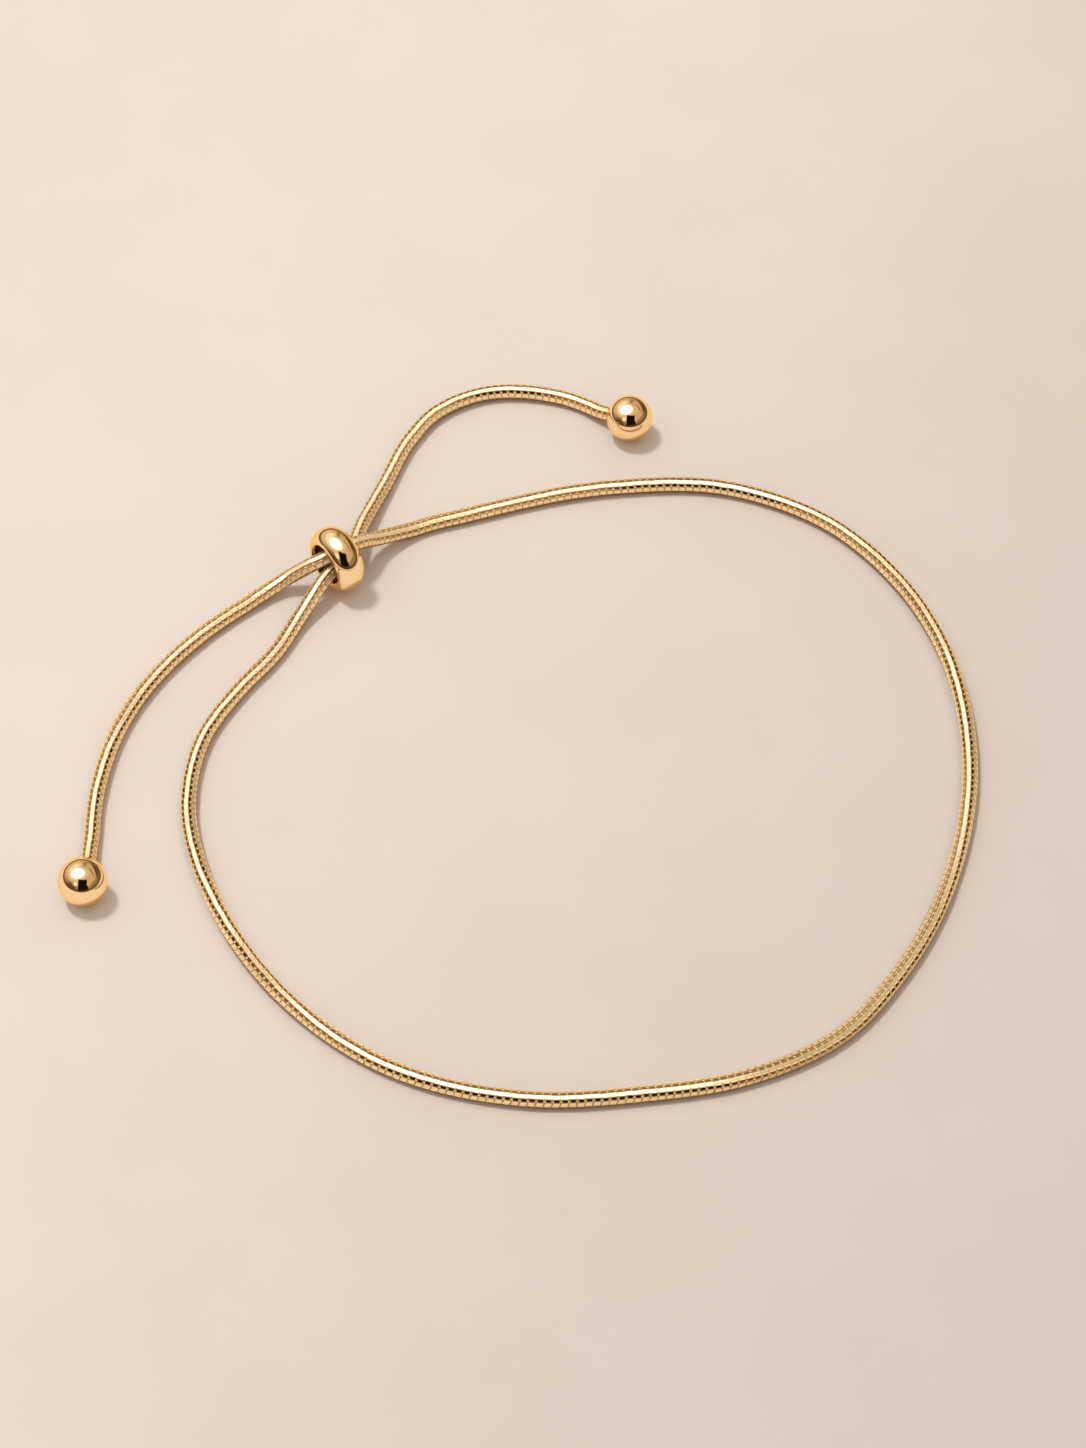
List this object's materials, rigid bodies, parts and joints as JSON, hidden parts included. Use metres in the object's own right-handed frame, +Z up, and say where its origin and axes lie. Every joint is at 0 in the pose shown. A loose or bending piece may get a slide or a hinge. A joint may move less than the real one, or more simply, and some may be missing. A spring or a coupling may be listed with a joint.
{
  "type": "snake chain bracelet",
  "caption": "Adjustable bracelet of one round snake chain whose two strands run through a slider bead, with a ball on each free end.",
  "frame": {"origin": "on the table top that the bracelet lies on, under the middle of its box", "axes": "+X to the right and +Y away from the viewer as pictured, +Z up from the table top"},
  "size_m": [0.0746, 0.0789, 0.0058],
  "materials": {
    "chain_gold": "gold plated, polished links",
    "bead_gold": "gold plated, mirror polished",
    "ball_gold": "gold plated, mirror polished"
  },
  "bodies": {
    "root": {"snake_chain": "chain_gold", "slider_bead": "bead_gold", "end_ball_left": "ball_gold", "end_ball_right": "ball_gold"}
  },
  "joints": []
}
